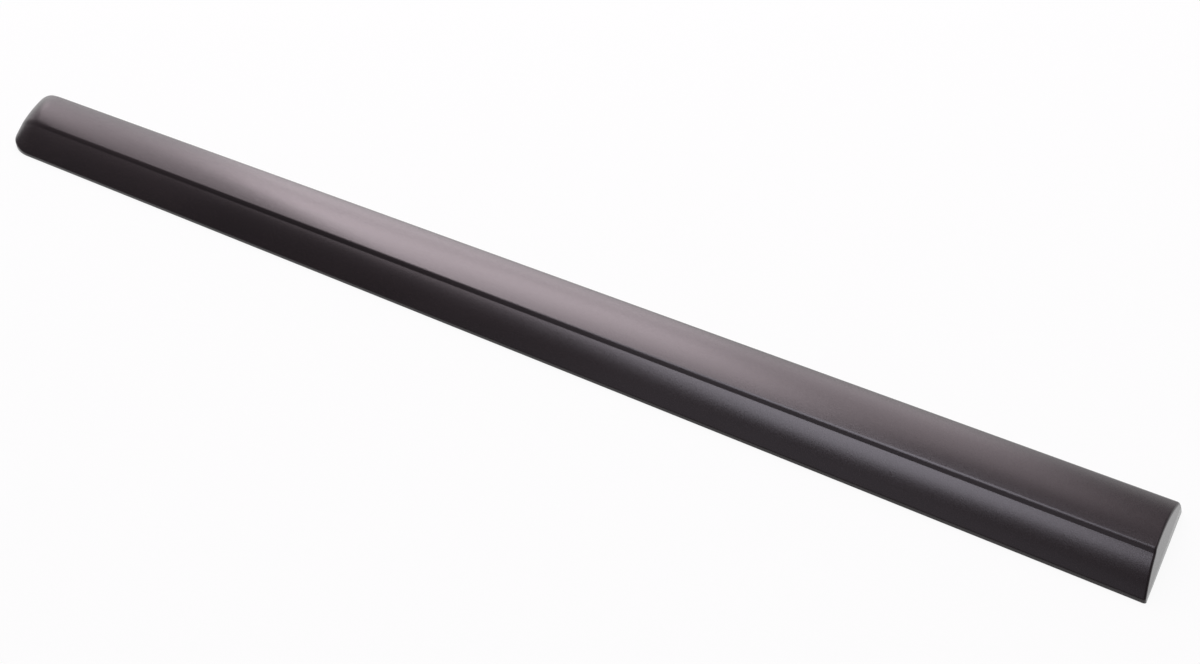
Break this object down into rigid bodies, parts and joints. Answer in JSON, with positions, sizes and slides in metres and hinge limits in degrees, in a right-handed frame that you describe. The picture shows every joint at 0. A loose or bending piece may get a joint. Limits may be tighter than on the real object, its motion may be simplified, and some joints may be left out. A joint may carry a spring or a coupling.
{
  "type": "car body side moulding",
  "caption": "Long domed plastic strip for a car door's side, with a crease along its face, one raked rounded end, one closed square end and a hollow ribbed back.",
  "frame": {"origin": "middle of the flat back, on the plane that lies against the door", "axes": "+X along the moulding towards its square end, +Y towards its upper edge, +Z out of the door"},
  "size_m": [0.7364, 0.0612, 0.0123],
  "materials": {
    "black_plastic": "satin"
  },
  "bodies": {
    "root": {"side_moulding": "black_plastic"}
  },
  "joints": []
}
